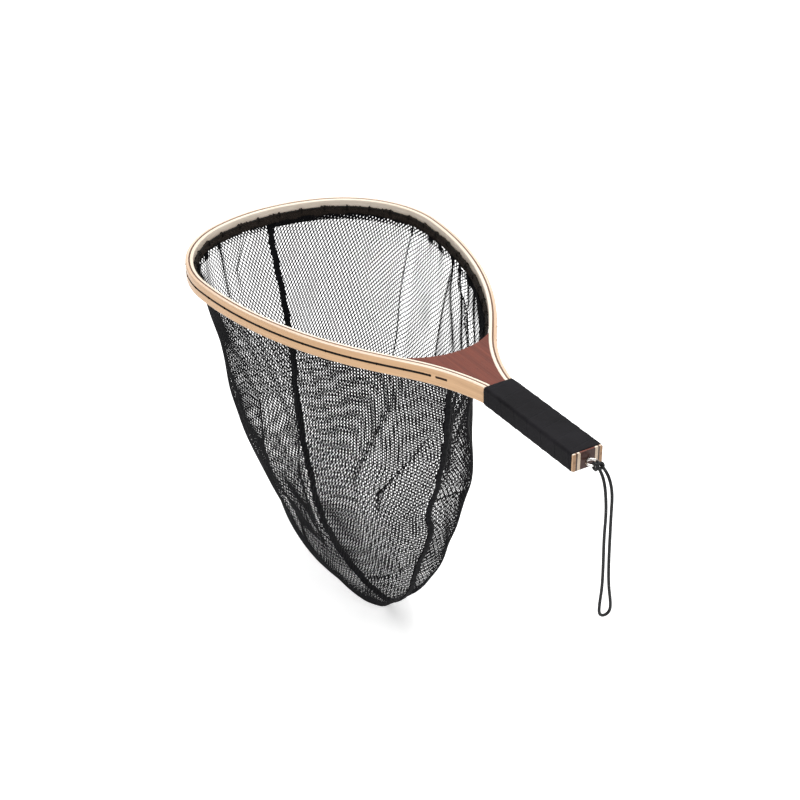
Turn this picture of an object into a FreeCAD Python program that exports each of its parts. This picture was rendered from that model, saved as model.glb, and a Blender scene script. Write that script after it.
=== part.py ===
"""Landing net: laminated wooden hoop and handle, laced net bag, screw eye and wrist lanyard.

Frame: +X runs from the toe of the hoop to the butt of the handle, +Z is up out of the hoop's
plane, and the origin is the middle of the grip. Millimetres.
"""
import FreeCAD, Part
import math
import os

import Sketcher

V = FreeCAD.Vector
Z_AXIS = V(0, 0, 1)

DIMENSIONS = {
    # hoop outline: outer face, from the toe round to the handle
    "toe_x": -530.0,
    "toe_radius": 195.0,
    "toe_turn": 20.0,
    "shoulder_radius": 121.0,
    "shoulder_turn": 72.0,
    "side_radius": 420.0,
    "side_turn": 33.0,
    "neck_radius": 224.0,
    "neck_turn": 20.0,
    "root_radius": 25.0,
    "throat_x": -141.0,
    "throat_radius": 85.0,
    "corner_radius": 20.0,
    # frame section and handle
    "frame_height": 18.0,
    "outer_strip": 3.2,
    "middle_strip": 1.8,
    "inner_strip": 3.2,
    "edge_round": 1.2,
    "handle_width": 32.6,
    "butt_x": 70.0,
    "grip_start": -70.0,
    "grip_end": 68.0,
    "wrap_gap": 0.1,
    "wrap_thick": 1.0,
    "wrap_corner": 2.6,
    # lacing groove and holes
    "lace_z": 0.6,
    "groove_width": 2.6,
    "groove_depth": 2.1,
    "cord_radius": 1.1,
    "cord_inset": 0.95,
    "hole_radius": 1.5,
    "hole_pitch": 28.0,
    "holes_per_side": 19.0,
    "tie_radius": 1.2,
    "slot_start": 524.0,
    "slot_end": 537.0,
    # head rope and hem, inside the hoop
    "rope_radius": 1.4,
    "rope_gap": 0.4,
    "hem_gap": 0.3,
    "hem_thick": 2.4,
    "hem_top": -1.2,
    "hem_bottom": -12.3,
    # net bag
    "net_wall": 1.0,
    "net_top": -12.6,
    "nest_gap": 3.2,
    "tape_width": 6.5,
    "tape_thick": 1.2,
    "tape_gap": 1.0,
    "split_gap": 0.5,
    # screw eye
    "eye_x": 77.0,
    "eye_radius": 5.5,
    "eye_wire": 1.1,
    "shank_radius": 1.5,
    "shank_length": 20.0,
    "shank_point": 4.0,
    # lanyard
    "hitch_x": 82.1,
    "hitch_radius": 3.7,
    "hitch_spread": 1.4,
    "lanyard_radius": 1.5,
}

# Net bag, level by level: height, toe end, throat end, half width, fullness (1 keeps the
# mouth's outline, less is rounder at both ends).
BAG_WALL = (
    (-12.6, -519.0, -144.0, 134.0, 1.00),
    (-36.0, -510.0, -152.0, 127.0, 0.80),
    (-75.0, -496.3, -155.7, 119.0, 0.65),
    (-115.0, -482.8, -162.2, 114.0, 0.58),
    (-150.0, -473.5, -169.0, 110.0, 0.55),
    (-200.0, -468.0, -181.5, 97.0, 0.55),
    (-245.0, -459.0, -190.5, 81.0, 0.55),
    (-290.0, -442.0, -209.0, 64.0, 0.55),
    (-330.0, -424.7, -225.0, 52.0, 0.55),
)
BAG_BOTTOM = (
    (-330.0, -424.7, -225.0, 52.0, 0.55),
    (-348.0, -408.0, -238.0, 43.0, 0.58),
    (-361.0, -381.0, -252.0, 32.0, 0.62),
    (-370.0, -356.0, -268.0, 18.0, 0.70),
)
BAG_TIP = (-375.5, -308.0)

# Wrist lanyard: one cord that leaves the hitch, hangs down, turns at the bight and comes back.
LANYARD_ROUTE = (
    (88.0, -2.4, 2.3),
    (93.6, -2.7, -0.6),
    (99.0, -3.0, -7.8),
    (102.6, -3.4, -19.0),
    (104.5, -3.1, -38.0),
    (103.9, -3.3, -64.0),
    (104.9, -2.9, -92.0),
    (106.4, -3.6, -116.0),
    (107.2, -6.1, -134.5),
    (107.5, -6.3, -144.6),
    (107.7, -2.7, -148.6),
    (107.9, 2.5, -148.8),
    (108.1, 6.3, -145.0),
    (108.0, 5.9, -135.0),
    (107.0, 3.2, -117.0),
    (105.4, 2.9, -93.0),
    (104.1, 3.4, -66.0),
    (104.0, 3.0, -41.0),
    (103.6, 3.3, -20.5),
    (100.0, 3.0, -8.6),
    (94.2, 2.7, -1.4),
    (88.0, 2.4, 1.1),
)
ARC_SHARE = 0.45

CUT_REACH = -1.0        # how far outside the outer face a groove's profile starts
SLOT_SHARE = 0.6        # depth of the run-out slots, as a share of the groove's
DRILL_REACH = 2.0       # how far outside the outer face a drill starts, and past the inner one it ends
THROAT_DRILL = 36.0     # length of the drill that goes on through the throat
FIT_GAP = 0.1           # a tie's ends stay this far from the groove's floor and the head rope
SECTION_POINTS = 25     # points on each half section of the bag
CORE_OVERLAP = 2.0      # how far past the side arc's end the throat wedge starts


def make_sheet(doc):
    """Put the driving dimensions into a spreadsheet, one alias per row."""
    sheet = doc.addObject("Spreadsheet::Sheet", "dims")
    for row, (alias, value) in enumerate(DIMENSIONS.items(), start=1):
        sheet.set(f"A{row}", alias)
        sheet.set(f"B{row}", str(value))
        sheet.setAlias(f"B{row}", alias)
    doc.recompute()
    return sheet


class Outline:
    """The hoop's outer face as tangent arcs, read from the sheet; offsets run inwards."""

    def __init__(self, sheet):
        self.sheet = sheet
        turns = sheet.toe_turn + sheet.shoulder_turn + sheet.side_turn
        root_turn = turns - 90.0 - sheet.neck_turn
        self.bends = [
            (sheet.toe_radius, sheet.toe_turn),
            (sheet.shoulder_radius, sheet.shoulder_turn),
            (sheet.side_radius, sheet.side_turn),
        ]
        self.reverse_bends = [(sheet.neck_radius, -sheet.neck_turn), (sheet.root_radius, -root_turn)]
        self.straight = 0.0
        self.segments = self.build()
        drop = self.segments[-1]["start"].y - sheet.handle_width / 2.0
        self.straight = drop / math.sin(math.radians(turns - 90.0))
        self.segments = self.build()
        self.strips = sheet.outer_strip + sheet.middle_strip + sheet.inner_strip

    def build(self):
        """Segments of the +Y half: start point, heading, length, radius and turn."""
        pieces = [("arc", bend) for bend in self.bends]
        pieces.append(("line", self.straight))
        pieces += [("arc", bend) for bend in self.reverse_bends]
        point = V(self.sheet.toe_x, 0, 0)
        heading = 90.0
        travelled = 0.0
        segments = []
        for kind, data in pieces:
            radius, turn = data if kind == "arc" else (0.0, 0.0)
            length = radius * math.radians(abs(turn)) if kind == "arc" else data
            segment = dict(start=point, heading=heading, length=length, radius=radius,
                           turn=turn, at=travelled)
            segments.append(segment)
            point = self.on_segment(segment, length, 0.0)
            heading -= turn
            travelled += length
        handle = dict(start=point, heading=0.0, length=self.sheet.butt_x - point.x,
                      radius=0.0, turn=0.0, at=travelled)
        segments.append(handle)
        self.length = travelled + handle["length"]
        return segments

    @staticmethod
    def on_segment(segment, along, offset):
        """A point this far along a segment, this far inside the outer face."""
        heading = math.radians(segment["heading"])
        right = V(math.sin(heading), -math.cos(heading), 0)
        if segment["turn"] == 0.0:
            ahead = V(math.cos(heading), math.sin(heading), 0)
            return segment["start"] + ahead * along + right * offset
        side = 1.0 if segment["turn"] > 0 else -1.0
        centre = segment["start"] + right * (side * segment["radius"])
        swept = heading - side * along / segment["radius"]
        out = V(math.sin(swept), -math.cos(swept), 0) * (-side)
        return centre + out * (segment["radius"] - side * offset)

    def find(self, station):
        for segment in self.segments:
            if station <= segment["at"] + segment["length"] + 1e-9:
                return segment
        return self.segments[-1]

    def point(self, station, offset):
        """Point at a station; stations count from the toe, negative on the -Y side."""
        segment = self.find(abs(station))
        place = self.on_segment(segment, abs(station) - segment["at"], offset)
        return place if station >= 0 else V(place.x, -place.y, 0)

    def inward(self, station):
        """Unit vector from the outer face towards the inside of the hoop."""
        return self.point(station, 1.0) - self.point(station, 0.0)

    def half(self, first, last, offset):
        """Edges of the +Y side between two stations."""
        edges = []
        for segment in self.segments:
            low = max(first, segment["at"])
            high = min(last, segment["at"] + segment["length"])
            if high - low < 1e-6:
                continue
            ends = [self.on_segment(segment, at - segment["at"], offset)
                    for at in (low, (low + high) / 2.0, high)]
            if segment["turn"] == 0.0:
                edges.append(Part.LineSegment(ends[0], ends[2]))
            else:
                edges.append(Part.Arc(*ends))
        return edges

    def run(self, first, last, offset):
        """Edges from one station to another, through the toe where their signs differ."""
        if first >= 0:
            return self.half(first, last, offset)
        if last <= 0:
            return [mirrored(edge) for edge in self.half(-last, -first, offset)][::-1]
        return self.run(first, 0.0, offset) + self.half(0.0, last, offset)

    def mouth_half(self, offset):
        """+Y half of the closed mouth: hoop side, corner, throat arc; offset from the hoop."""
        line = self.segments[len(self.bends)]
        inset = offset - self.strips
        centre = V(self.sheet.throat_x - self.sheet.throat_radius, 0, 0)
        radius = self.sheet.throat_radius - inset
        corner = self.sheet.corner_radius
        heading = math.radians(line["heading"])
        ahead = V(math.cos(heading), math.sin(heading), 0)
        right = V(math.sin(heading), -math.cos(heading), 0)
        base = line["start"] + right * (offset + corner) - centre
        along = base.dot(ahead)
        reach = (radius - corner) ** 2 - base.dot(base) + along ** 2
        travel = math.sqrt(reach) - along
        middle = line["start"] + right * (offset + corner) + ahead * travel
        start = middle - right * corner
        end = centre + (middle - centre).normalize() * radius
        bulge = (start + end) * 0.5 - middle
        waist = middle + bulge.normalize() * corner
        apex = V(centre.x + radius, 0, 0)
        angle = math.atan2(end.y, end.x - centre.x) / 2.0
        halfway = centre + V(math.cos(angle), math.sin(angle), 0) * radius
        edges = self.half(0.0, line["at"], offset)
        edges.append(Part.LineSegment(self.on_segment(line, 0.0, offset), start))
        edges.append(Part.Arc(start, waist, end))
        edges.append(Part.Arc(end, halfway, apex))
        return edges

    def mouth(self, offset):
        """The whole closed mouth."""
        half = self.mouth_half(offset)
        return half + [mirrored(edge) for edge in half[::-1]]


def flipped(point):
    return V(point.x, -point.y, point.z)


def mirrored(edge):
    """The same edge on the -Y side, running the other way."""
    if isinstance(edge, Part.LineSegment):
        return Part.LineSegment(flipped(edge.EndPoint), flipped(edge.StartPoint))
    middle = edge.value((edge.FirstParameter + edge.LastParameter) / 2.0)
    return Part.Arc(flipped(edge.EndPoint), flipped(middle), flipped(edge.StartPoint))


def ring_profile(outer, inner):
    """Close two parallel runs of edges with a line at each end."""
    ends = [(outer[0], "StartPoint"), (outer[-1], "EndPoint"),
            (inner[0], "StartPoint"), (inner[-1], "EndPoint")]
    first, last, inner_first, inner_last = [getattr(edge, name) for edge, name in ends]
    return outer + [Part.LineSegment(last, inner_last), Part.LineSegment(inner_first, first)] + inner


def add_sketch(doc, body, name, role, geometry, height=None):
    """A sketch on one of the body's own origin planes, lifted by a sheet cell if one is named."""
    sketch = body.newObject("Sketcher::SketchObject", name)
    plane = [f for f in body.Origin.OriginFeatures if f.Role == role][0]
    sketch.AttachmentSupport = [(plane, "")]
    sketch.MapMode = "FlatFace"
    if height:
        sketch.setExpression(".AttachmentOffset.Base.z", f"dims.{height}")
    for item in geometry:
        sketch.addGeometry(item)
    doc.recompute()
    return sketch


def add_pad(doc, body, sketch, length):
    """A symmetric pad whose length is a sheet expression."""
    pad = body.newObject("PartDesign::Pad", f"{body.Name}_pad")
    pad.Profile = sketch
    pad.Midplane = True
    pad.setExpression("Length", length)
    doc.recompute()
    return pad


def add_pocket(doc, body, sketch, name, length):
    """A symmetric pocket that has to take some material away."""
    before = body.Shape.Volume
    pocket = body.newObject("PartDesign::Pocket", name)
    pocket.Profile = sketch
    pocket.Midplane = True
    pocket.setExpression("Length", length)
    doc.recompute()
    if body.Shape.Volume > before - 1.0:
        raise ValueError(f"{name} cuts nothing")
    return pocket


def new_body(doc, label):
    body = doc.addObject("PartDesign::Body", label)
    body.Label = label
    return body


def round_edges(doc, body, base, chosen, radius):
    """Round the edges that the test picks."""
    names = [f"Edge{i}" for i, edge in enumerate(base.Shape.Edges, start=1) if chosen(edge)]
    fillet = body.newObject("PartDesign::Fillet", f"{body.Name}_round")
    fillet.Base = (base, names)
    fillet.setExpression("Radius", radius)
    doc.recompute()
    return fillet


def along_outline(outline, offset):
    """A test for the long top and bottom edges that lie at one offset of the outline."""
    height = outline.sheet.frame_height / 2.0
    run = Part.Wire([edge.toShape() for edge in outline.run(-outline.length, outline.length, offset)])

    def chosen(edge):
        middle = edge.valueAt((edge.FirstParameter + edge.LastParameter) / 2.0)
        if abs(abs(middle.z) - height) > 1e-3 or edge.Length < 4.0:
            return False
        flat = Part.Vertex(V(middle.x, middle.y, 0))
        return run.distToShape(flat)[0] < 1e-3

    return chosen


def make_strip(doc, outline, label, first_offset, last_offset):
    """One bent strip of the frame, from butt to butt round the toe."""
    end = outline.length
    body = new_body(doc, label)
    profile = ring_profile(outline.run(-end, end, first_offset), outline.run(-end, end, last_offset))
    sketch = add_sketch(doc, body, f"{label}_outline", "XY_Plane", profile)
    add_pad(doc, body, sketch, "dims.frame_height")
    return body


def make_drills(doc, outline):
    """One drill per lacing hole; the last one each side goes on through the throat."""
    sheet = outline.sheet
    through_strips = outline.strips + 2 * DRILL_REACH
    drills = []
    for station in hole_stations(sheet):
        last = abs(station) > sheet.hole_pitch * (sheet.holes_per_side - 1)
        drill = doc.addObject("Part::Cylinder", "drill")
        drill.setExpression("Radius", "dims.hole_radius")
        drill.Height = THROAT_DRILL if last else through_strips
        start = outline.point(station, -DRILL_REACH) + Z_AXIS * sheet.lace_z
        drill.Placement = FreeCAD.Placement(start, FreeCAD.Rotation(Z_AXIS, outline.inward(station)))
        drills.append(drill)
    bundle = doc.addObject("Part::Compound", "drills")
    bundle.Links = drills
    doc.recompute()
    return bundle


def hole_stations(sheet):
    """Stations of the lacing holes, evenly spaced both ways from the toe."""
    count = int(sheet.holes_per_side)
    half = [sheet.hole_pitch * (i + 0.5) for i in range(count)]
    return [-station for station in reversed(half)] + half


def drilled(doc, body, drills, label):
    """The strip with its lacing holes."""
    body.Label = f"{label}_blank"
    cut = doc.addObject("Part::Cut", f"{label}_cut")
    cut.Base = body
    cut.Tool = drills
    cut.Label = label
    doc.recompute()
    return cut


def make_frame(doc, outline, drills):
    """The three strips of the laminated hoop, glued face to face."""
    sheet = outline.sheet
    first = sheet.outer_strip
    second = first + sheet.middle_strip
    outer = make_strip(doc, outline, "outer_lamination", 0.0, first)
    round_edges(doc, outer, outer.Tip, along_outline(outline, 0.0), "dims.edge_round")
    last_hole = sheet.hole_pitch * (sheet.holes_per_side - 0.5)
    depth = sheet.groove_depth
    groove = ring_profile(outline.run(-last_hole, last_hole, CUT_REACH),
                          outline.run(-last_hole, last_hole, depth))
    sketch = add_sketch(doc, outer, "groove_outline", "XY_Plane", groove, "lace_z")
    add_pocket(doc, outer, sketch, "groove", "dims.groove_width")
    for side in (1, -1):
        ends = sorted((side * sheet.slot_start, side * sheet.slot_end))
        slot = ring_profile(outline.run(*ends, CUT_REACH), outline.run(*ends, depth * SLOT_SHARE))
        name = "slot_far" if side > 0 else "slot_near"
        sketch = add_sketch(doc, outer, f"{name}_outline", "XY_Plane", slot, "lace_z")
        add_pocket(doc, outer, sketch, name, "dims.groove_width")
    middle = make_strip(doc, outline, "middle_lamination", first, second)
    inner = make_strip(doc, outline, "inner_lamination", second, outline.strips)
    round_edges(doc, inner, inner.Tip, in_the_open(outline), "dims.edge_round")
    bodies = (outer, middle, inner)
    labels = ("outer_lamination", "middle_lamination", "inner_lamination")
    return [drilled(doc, body, drills, label) for body, label in zip(bodies, labels)]


def in_the_open(outline):
    """The inner strip's inside edges, as far as the throat covers them."""
    on_face = along_outline(outline, outline.strips)
    limit = outline.segments[len(outline.bends)]["start"].x

    def chosen(edge):
        return on_face(edge) and edge.BoundBox.XMax < limit + 1.0

    return chosen


def make_core(doc, outline, drills):
    """Throat wedge and handle core, one piece of wood, with the eye's pilot bore."""
    sheet = outline.sheet
    body = new_body(doc, "handle_core")
    line = outline.segments[len(outline.bends)]
    start = line["at"] + CORE_OVERLAP
    far = outline.half(start, outline.length, outline.strips)
    near = [mirrored(edge) for edge in far[::-1]]
    butt = Part.LineSegment(far[-1].EndPoint, near[0].StartPoint)
    mouth = Part.LineSegment(near[-1].EndPoint, far[0].StartPoint)
    sketch = add_sketch(doc, body, "core_outline", "XY_Plane", far + [butt] + near + [mouth])
    add_pad(doc, body, sketch, "dims.frame_height")
    centre = V(sheet.throat_x - sheet.throat_radius, 0, 0)
    scallop = [Part.Circle(centre, Z_AXIS, sheet.throat_radius)]
    sketch = add_sketch(doc, body, "throat_outline", "XY_Plane", scallop)
    radius = sketch.addConstraint(Sketcher.Constraint("Radius", 0, sheet.throat_radius))
    sketch.setExpression(f"Constraints[{radius}]", "dims.throat_radius")
    add_pocket(doc, body, sketch, "throat", "dims.frame_height + 2")
    bore = doc.addObject("Part::Cylinder", "pilot_bore")
    bore.setExpression("Radius", "dims.shank_radius")
    bore.setExpression("Height", "dims.shank_length")
    bore.Placement = FreeCAD.Placement(V(sheet.butt_x - sheet.shank_length, 0, 0),
                                       FreeCAD.Rotation(Z_AXIS, V(1, 0, 0)))
    tip = doc.addObject("Part::Cone", "pilot_tip")
    tip.Radius1 = 0.0
    tip.setExpression("Radius2", "dims.shank_radius")
    tip.setExpression("Height", "dims.shank_point")
    tip.Placement = FreeCAD.Placement(V(sheet.butt_x - sheet.shank_length - sheet.shank_point, 0, 0),
                                      FreeCAD.Rotation(Z_AXIS, V(1, 0, 0)))
    tools = doc.addObject("Part::Compound", "core_tools")
    tools.Links = [drills, bore, tip]
    doc.recompute()
    return drilled(doc, body, tools, "handle_core")


def rounded_box(width, height, radius):
    """Edges of a rectangle with round corners, about the origin of a sketch."""
    edges = []
    right = width / 2.0
    top = height / 2.0
    for quarter in range(4):
        angle = math.radians(90 * quarter)
        sign_x = 1 if quarter in (0, 3) else -1
        sign_y = 1 if quarter in (0, 1) else -1
        centre = V(sign_x * (right - radius), sign_y * (top - radius), 0)
        ends = [centre + V(math.cos(angle + turn), math.sin(angle + turn), 0) * radius
                for turn in (0.0, math.pi / 4, math.pi / 2)]
        edges.append(Part.Arc(*ends))
    for i in range(4):
        edges.append(Part.LineSegment(edges[i].EndPoint, edges[(i + 1) % 4].StartPoint))
    return edges


def make_wrap(doc, sheet):
    """The grip's sleeve of wound tape."""
    body = new_body(doc, "grip_wrap")
    gap = sheet.wrap_gap
    inside = rounded_box(sheet.handle_width + 2 * gap, sheet.frame_height + 2 * gap, sheet.edge_round)
    grow = 2 * (gap + sheet.wrap_thick)
    outside = rounded_box(sheet.handle_width + grow, sheet.frame_height + grow, sheet.wrap_corner)
    sketch = add_sketch(doc, body, "wrap_outline", "YZ_Plane", inside + outside)
    sketch.setExpression(".AttachmentOffset.Base.z", "(dims.grip_start + dims.grip_end) / 2")
    add_pad(doc, body, sketch, "dims.grip_end - dims.grip_start")
    return body


def make_eye(doc, sheet):
    """Screw eye: a ring parallel to the hoop, on a pointed shank."""
    ring = doc.addObject("Part::Torus", "eye_ring")
    ring.setExpression("Radius1", "dims.eye_radius")
    ring.setExpression("Radius2", "dims.eye_wire")
    ring.setExpression(".Placement.Base.x", "dims.eye_x")
    along = FreeCAD.Rotation(Z_AXIS, V(1, 0, 0))
    shank = doc.addObject("Part::Cylinder", "eye_shank")
    shank.setExpression("Radius", "dims.shank_radius")
    shank.setExpression("Height", "dims.eye_x - dims.eye_radius - dims.butt_x + dims.shank_length")
    shank.Placement = FreeCAD.Placement(V(sheet.butt_x - sheet.shank_length, 0, 0), along)
    point = doc.addObject("Part::Cone", "eye_point")
    point.Radius1 = 0.0
    point.setExpression("Radius2", "dims.shank_radius")
    point.setExpression("Height", "dims.shank_point")
    point.Placement = FreeCAD.Placement(
        V(sheet.butt_x - sheet.shank_length - sheet.shank_point, 0, 0), along)
    eye = doc.addObject("Part::MultiFuse", "eye")
    eye.Shapes = [ring, shank, point]
    eye.Label = "screw_eye"
    doc.recompute()
    return eye


def add_wire(doc, name, edges, height=0.0):
    """A wire in the document, lifted to a height."""
    feature = doc.addObject("Part::Feature", name)
    wire = Part.Wire(Part.__sortEdges__([edge.toShape() for edge in edges]))
    wire.translate(V(0, 0, height))
    feature.Shape = wire
    return feature


def sweep_cord(doc, label, spine, radius_cell, start, heading):
    """A round cord along a wire of lines and tangent arcs."""
    circle = doc.addObject("Part::Circle", f"{label}_section")
    circle.setExpression("Radius", f"dims.{radius_cell}")
    circle.Placement = FreeCAD.Placement(start, FreeCAD.Rotation(Z_AXIS, heading))
    sweep = doc.addObject("Part::Sweep", f"{label}_sweep")
    sweep.Sections = [circle]
    sweep.Spine = (spine, [f"Edge{i + 1}" for i in range(len(spine.Shape.Edges))])
    sweep.Solid = True
    sweep.Frenet = False
    sweep.Label = label
    doc.recompute()
    return sweep


def start_of(spine):
    """First point and direction of a wire."""
    edge = spine.Shape.OrderedEdges[0]
    forward = edge.Orientation == "Forward"
    parameter = edge.FirstParameter if forward else edge.LastParameter
    tangent = edge.tangentAt(parameter)
    return edge.valueAt(parameter), tangent if forward else tangent * -1


def make_lacing(doc, outline):
    """Cord in the outside groove, ties through the holes and head rope inside."""
    sheet = outline.sheet
    last_hole = sheet.hole_pitch * (sheet.holes_per_side - 0.5) - sheet.cord_radius
    spine = add_wire(doc, "groove_path", outline.run(-last_hole, last_hole, sheet.cord_inset),
                     sheet.lace_z)
    groove_cord = sweep_cord(doc, "groove_cord", spine, "cord_radius", *start_of(spine))
    rope_offset = outline.strips + sheet.rope_gap + sheet.rope_radius
    spine = add_wire(doc, "rope_path", outline.mouth(rope_offset), sheet.lace_z)
    head_rope = sweep_cord(doc, "head_rope", spine, "rope_radius", *start_of(spine))
    ties = []
    rope_face = outline.mouth(outline.strips + sheet.rope_gap - FIT_GAP)
    rope_face = Part.Wire([edge.toShape() for edge in rope_face])
    for station in hole_stations(sheet):
        place = outline.point(station, sheet.groove_depth + FIT_GAP)
        ray = outline.inward(station)
        tie = doc.addObject("Part::Cylinder", "tie")
        tie.setExpression("Radius", "dims.tie_radius")
        tie.Height = tie_length(rope_face, place, ray, sheet.tie_radius)
        tie.Placement = FreeCAD.Placement(place + Z_AXIS * sheet.lace_z,
                                          FreeCAD.Rotation(Z_AXIS, ray))
        ties.append(tie)
    bundle = doc.addObject("Part::Compound", "ties")
    bundle.Links = ties
    bundle.Label = "net_ties"
    doc.recompute()
    return [groove_cord, head_rope, bundle]


def tie_length(rope_face, place, ray, radius):
    """How far a tie runs along its hole before any of its end reaches the head rope."""
    sideways = V(-ray.y, ray.x, 0) * radius
    reaches = []
    for start in (place - sideways, place, place + sideways):
        line = Part.LineSegment(start, start + ray * THROAT_DRILL).toShape()
        reaches += [(pair[0] - start).Length for pair in line.distToShape(rope_face)[1]]
    return min(reaches)


def make_hem(doc, outline):
    """The hem: gathered net bound round the inside of the hoop below the head rope."""
    sheet = outline.sheet
    body = new_body(doc, "hem_band")
    outside = outline.strips + sheet.hem_gap
    profile = outline.mouth(outside) + outline.mouth(outside + sheet.hem_thick)
    sketch = add_sketch(doc, body, "hem_outline", "XY_Plane", profile)
    sketch.setExpression(".AttachmentOffset.Base.z", "(dims.hem_top + dims.hem_bottom) / 2")
    add_pad(doc, body, sketch, "dims.hem_top - dims.hem_bottom")
    return body


def section_curve(outline, level, inset, lift):
    """One level of the bag's +Y half, square to the seam's plane at both ends, shrunk by an inset."""
    height, toe, throat, half_width, fullness = level
    mouth = Part.Wire([edge.toShape() for edge in outline.mouth_half(outline.strips)])
    places = mouth.discretize(Number=SECTION_POINTS)
    first = places[0].x
    last = places[-1].x
    widest = max(place.y for place in places)
    points = []
    for place in places:
        share = (place.x - first) / (last - first)
        across = max(place.y, 0.0) / widest
        points.append(V(toe + share * (throat - toe), half_width * across ** fullness, height + lift))
    curve = Part.BSplineCurve()
    curve.interpolate(Points=points, InitialTangent=V(0, 1, 0), FinalTangent=V(0, -1, 0))
    middle = (toe + throat) / 2.0
    along = 1.0 - 2.0 * inset / (throat - toe)
    across = 1.0 - inset / half_width
    for number, pole in enumerate(curve.getPoles(), start=1):
        curve.setPole(number, V(middle + (pole.x - middle) * along, pole.y * across, pole.z))
    return curve


def bag_solid(outline, levels, inset, overrun, back):
    """Loft of D-shaped levels: the +Y half of the bag, filled, its flat side at y = back."""
    wires = []
    for number, level in enumerate(levels):
        lift = 0.0
        if number == 0:
            lift = overrun[0]
        elif number == len(levels) - 1:
            lift = -overrun[1]
        curve = section_curve(outline, level, inset, lift)
        first = curve.StartPoint
        last = curve.EndPoint
        corners = [last, V(last.x, back, last.z), V(first.x, back, first.z), first]
        lines = [Part.LineSegment(a, b).toShape() for a, b in zip(corners, corners[1:])
                 if (a - b).Length > 1e-6]
        wires.append(Part.Wire([curve.toShape()] + lines))
    return Part.makeLoft(wires, True, False)


def mirror_side(shape, side):
    return shape if side > 0 else shape.mirror(V(0, 0, 0), V(0, 1, 0))


def make_bag(doc, outline):
    """Netting panels, left and right of the seam, with the bottom as pieces of its own."""
    sheet = outline.sheet
    wall = sheet.net_wall
    filled = bag_solid(outline, BAG_WALL, 0.0, (0.0, 0.0), 0.0)
    hollow = bag_solid(outline, BAG_WALL, wall, (2.0, 2.0), -1.0)
    panel = filled.cut(hollow)
    nest = sheet.nest_gap
    lowered = [(level[0] - sheet.split_gap * (number == 0),) + level[1:]
               for number, level in enumerate(BAG_BOTTOM)]
    filled = bag_solid(outline, lowered, nest, (0.0, 0.0), 0.0)
    hollow = bag_solid(outline, lowered, nest + wall, (2.0, -wall), -1.0)
    bottom = filled.cut(hollow)
    made = []
    for shape, name in ((panel, "net_panel"), (bottom, "net_bottom")):
        for side, hand in ((-1, "left"), (1, "right")):
            feature = doc.addObject("Part::Feature", f"{hand}_{name}")
            feature.Shape = mirror_side(shape, side)
            feature.Label = f"{hand}_{name}"
            made.append(feature)
    return made


def tape_solid(sheet, points, inset):
    """A flat tape on edge: a ribbon along points in the plane y = 0."""
    path = Part.BSplineCurve()
    path.interpolate(points)
    sides = []
    for away in (inset, inset + sheet.tape_thick):
        moved = []
        for point in points:
            tangent = path.tangent(path.parameter(point))[0]
            moved.append(point + V(tangent.z, 0, -tangent.x) * away)
        curve = Part.BSplineCurve()
        curve.interpolate(moved)
        sides.append(curve)
    first, second = sides
    ends = [Part.LineSegment(first.EndPoint, second.EndPoint).toShape(),
            Part.LineSegment(second.StartPoint, first.StartPoint).toShape()]
    wire = Part.Wire(Part.__sortEdges__([first.toShape(), second.toShape()] + ends))
    ribbon = Part.Face(wire).extrude(V(0, sheet.tape_width, 0))
    ribbon.translate(V(0, -sheet.tape_width / 2.0, 0))
    return ribbon


def make_tapes(doc, outline):
    """Seam tape over the panels' joint: toe side, throat side and round the bottom."""
    sheet = outline.sheet
    toe_side = [V(level[1], 0, level[0]) for level in BAG_WALL]
    throat_side = [V(level[2], 0, level[0]) for level in reversed(BAG_WALL)]
    nest = sheet.nest_gap
    gap = sheet.split_gap
    bottom = [V(level[1] + nest, 0, level[0] - gap * (level is BAG_BOTTOM[0])) for level in BAG_BOTTOM]
    bottom.append(V(BAG_TIP[1], 0, BAG_TIP[0] + nest))
    bottom += [V(level[2] - nest, 0, level[0] - gap * (level is BAG_BOTTOM[0]))
               for level in reversed(BAG_BOTTOM)]
    made = []
    for label, points in (("toe_seam_tape", toe_side), ("throat_seam_tape", throat_side),
                          ("bottom_seam_tape", bottom)):
        feature = doc.addObject("Part::Feature", label)
        feature.Shape = tape_solid(sheet, points, sheet.tape_gap)
        feature.Label = label
        made.append(feature)
    return made


def rounded_route(points):
    """Straight runs joined by tangent arcs as large as the runs allow; radii go to the log."""
    places = [V(*point) for point in points]
    edges = []
    at = places[0]
    radii = []
    for before, corner, after in zip(places, places[1:], places[2:]):
        back = before - corner
        ahead = after - corner
        shorter = min(back.Length, ahead.Length)
        turn = math.pi - back.getAngle(ahead)
        reach = ARC_SHARE * shorter
        radii.append(reach / math.tan(turn / 2.0))
        back.normalize()
        ahead.normalize()
        start = corner + back * reach
        end = corner + ahead * reach
        inner = (back + ahead).normalize()
        sag = radii[-1] / math.cos(turn / 2.0) - radii[-1]
        edges.append(Part.LineSegment(at, start))
        edges.append(Part.Arc(start, corner + inner * sag, end))
        at = end
    edges.append(Part.LineSegment(at, places[-1]))
    print("lanyard radii:", " ".join(f"{radius:.1f}" for radius in radii))
    return edges


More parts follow.
